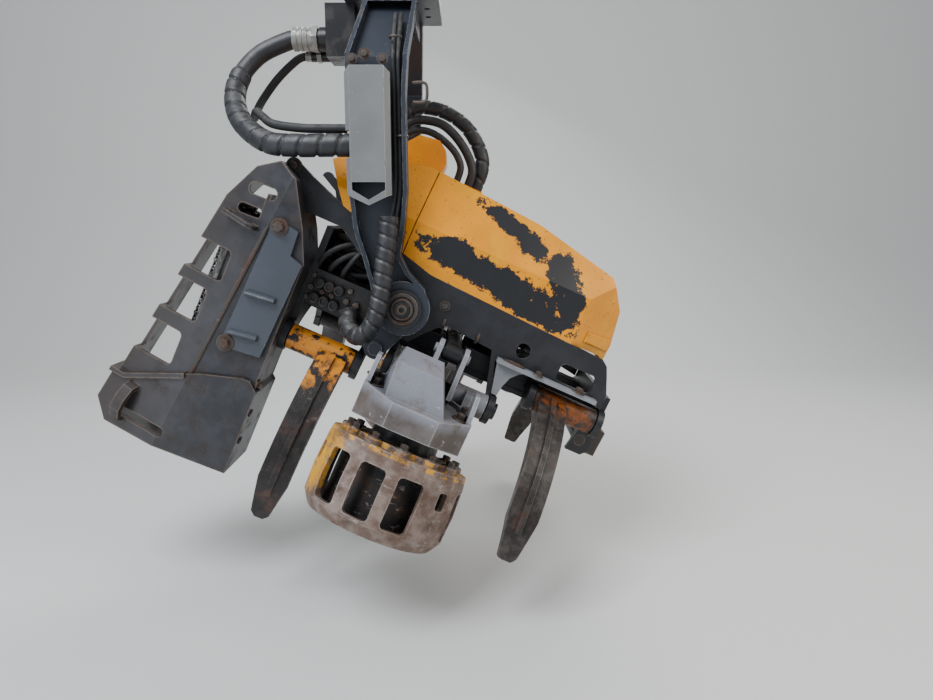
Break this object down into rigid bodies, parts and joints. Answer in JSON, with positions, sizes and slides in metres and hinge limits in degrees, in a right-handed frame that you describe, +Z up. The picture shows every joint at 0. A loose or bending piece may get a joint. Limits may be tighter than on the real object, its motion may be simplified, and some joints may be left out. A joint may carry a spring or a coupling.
{
  "type": "forestry harvester head",
  "caption": "Harvester head hung from a rotator and fork: feed rollers, curved delimbing knives, saw box with swinging bar, under an orange cover.",
  "frame": {"origin": "middle of the cross bore in the rotator's link, where the crane tip holds the head", "axes": "+Z up along the rotator; +X towards the front knives; +Y to the head's far side, along the link bore"},
  "size_m": [1.5266, 1.3644, 1.8773],
  "materials": {
    "painted_dark_grey": "satin paint, worn",
    "cast_grey": "worn grey paint on castings",
    "yellow_paint": "gloss paint",
    "black_paint": "satin",
    "worn_plate": "worn bare steel",
    "blue_grey_plate": "satin",
    "bar_steel": "ground",
    "worn_roller_steel": "rusty, worn",
    "knife_steel": "dark, worn bright at the edge",
    "hose_rubber": "matt"
  },
  "bodies": {
    "link": {"rotator_link": "cast_grey", "rotator_housing": "painted_dark_grey"},
    "hanger": {"rotator_flange": "painted_dark_grey", "hanger_crown": "painted_dark_grey", "hanger_leg_near": "painted_dark_grey", "hanger_leg_far": "painted_dark_grey", "hose_guard": "cast_grey", "port_block": "cast_grey", "hose_loop_thick": "hose_rubber", "hose_loop_thin": "hose_rubber", "leg_hoses": "hose_rubber", "pivot_hoses": "hose_rubber", "far_hoses": "hose_rubber"},
    "frame": {"side_plate_near": "painted_dark_grey", "side_plate_far": "painted_dark_grey", "frame_rear": "painted_dark_grey", "frame_front": "painted_dark_grey", "tilt_pins": "cast_grey", "cover_front": "yellow_paint", "cover_rear": "yellow_paint", "valve_block": "black_paint", "saw_box": "worn_plate", "saw_boot": "worn_plate", "saw_guard_plate": "blue_grey_plate", "saw_motor": "black_paint"},
    "saw": {"bar_holder": "worn_plate", "saw_bar": "bar_steel"},
    "bar_barrel": {"bar_cylinder": "black_paint"},
    "bar_piston": {"bar_rod": "bar_steel"},
    "arm_near": {"roller_arm_near": "cast_grey", "roller_motor_near": "black_paint"},
    "arm_far": {"roller_arm_far": "cast_grey", "roller_motor_far": "black_paint"},
    "roller_near": {"feed_roller_near": "worn_roller_steel"},
    "roller_far": {"feed_roller_far": "worn_roller_steel"},
    "arm_barrel": {"arm_cylinder": "black_paint"},
    "arm_piston": {"arm_rod": "bar_steel"},
    "front_knife_near": {"knife_front_near": "knife_steel"},
    "front_knife_far": {"knife_front_far": "knife_steel"},
    "rear_knife_near": {"knife_rear_near": "knife_steel"},
    "rear_knife_far": {"knife_rear_far": "knife_steel"},
    "top_blade": {"top_knife": "worn_plate"},
    "length_arm": {"measuring_arm": "painted_dark_grey"},
    "length_wheel": {"measuring_wheel": "worn_plate"}
  },
  "joints": [
    {"name": "rotator_turn", "type": "hinge", "parent": "link", "child": "hanger", "pos_m": [0, 0, -0.28], "axis": [0, 0, 1], "range_deg": [-160, 160]},
    {"name": "tilt", "type": "hinge", "parent": "hanger", "child": "frame", "pos_m": [0.035, 0, -1.16], "axis": [0, -1, 0], "range_deg": [0, 112], "deforming": ["pivot_hoses", "far_hoses"]},
    {"name": "bar_swing", "type": "hinge", "parent": "frame", "child": "saw", "pos_m": [-0.43879, -0.2, -0.89651], "axis": [0.9135, 0, -0.4067], "range_deg": [0, 78]},
    {"name": "bar_cylinder_rock", "type": "hinge", "parent": "saw", "child": "bar_barrel", "pos_m": [-0.38672, -0.24886, -0.87791], "axis": [-0.9135, 0, 0.4067], "range_deg": [0, 78]},
    {"name": "bar_rod_slide", "type": "slide", "parent": "bar_barrel", "child": "bar_piston", "axis": [0.4067, 0, 0.9135], "range_m": [0, 0.07812]},
    {"name": "roller_arm_near_swing", "type": "hinge", "parent": "frame", "child": "arm_near", "pos_m": [-0.00999, -0.262, -1.33481], "axis": [-0.9135, 0, 0.4067], "range_deg": [-34, 8]},
    {"name": "roller_arm_far_swing", "type": "hinge", "parent": "frame", "child": "arm_far", "pos_m": [-0.00999, 0.262, -1.33481], "axis": [0.9135, 0, -0.4067], "range_deg": [-34, 8]},
    {"name": "arm_barrel_rock", "type": "hinge", "parent": "arm_near", "child": "arm_barrel", "pos_m": [0.17265, -0.33, -1.28478], "axis": [0.9135, 0, -0.4067], "range_deg": [-34, 8]},
    {"name": "arm_rod_rock", "type": "hinge", "parent": "arm_far", "child": "arm_piston", "pos_m": [0.17265, 0.33, -1.28478], "axis": [-0.9135, 0, 0.4067], "range_deg": [-34, 8]},
    {"name": "roller_near_spin", "type": "hinge", "parent": "arm_near", "child": "roller_near", "pos_m": [0.03659, -0.45, -1.52522], "axis": [0.3947, 0.2419, 0.8864], "continuous": true},
    {"name": "roller_far_spin", "type": "hinge", "parent": "arm_far", "child": "roller_far", "pos_m": [0.03659, 0.45, -1.52522], "axis": [0.3947, -0.2419, 0.8864], "continuous": true},
    {"name": "front_knife_near_swing", "type": "hinge", "parent": "frame", "child": "front_knife_near", "pos_m": [0.4979, -0.23, -1.47009], "axis": [-0.9135, 0, 0.4067], "range_deg": [-72, 6]},
    {"name": "front_knife_far_swing", "type": "hinge", "parent": "frame", "child": "front_knife_far", "pos_m": [0.4979, 0.23, -1.47009], "axis": [0.9135, 0, -0.4067], "range_deg": [-72, 6]},
    {"name": "rear_knife_near_swing", "type": "hinge", "parent": "frame", "child": "rear_knife_near", "pos_m": [-0.20775, -0.24, -1.28727], "axis": [-0.9135, 0, 0.4067], "range_deg": [-54, 10]},
    {"name": "rear_knife_far_swing", "type": "hinge", "parent": "frame", "child": "rear_knife_far", "pos_m": [-0.20775, 0.24, -1.28727], "axis": [0.9135, 0, -0.4067], "range_deg": [-54, 10]},
    {"name": "top_knife_lift", "type": "hinge", "parent": "frame", "child": "top_blade", "pos_m": [0.55976, 0, -1.58191], "axis": [0, -1, 0], "range_deg": [0, 18]},
    {"name": "measuring_arm_lift", "type": "hinge", "parent": "frame", "child": "length_arm", "pos_m": [0.46127, 0, -1.43188], "axis": [0, 1, 0], "range_deg": [0, 16]},
    {"name": "measuring_wheel_spin", "type": "hinge", "parent": "length_arm", "child": "length_wheel", "pos_m": [0.36991, 0, -1.40106], "axis": [0, 1, 0], "continuous": true}
  ],
  "couplings": [
    {"joint": "bar_cylinder_rock", "follows": "bar_swing", "ratio": 1},
    {"joint": "bar_rod_slide", "follows": "bar_swing", "m_per_rad": 0.057313},
    {"joint": "roller_arm_far_swing", "follows": "roller_arm_near_swing", "ratio": 1},
    {"joint": "arm_barrel_rock", "follows": "roller_arm_near_swing", "ratio": 1},
    {"joint": "arm_rod_rock", "follows": "roller_arm_near_swing", "ratio": 1}
  ]
}
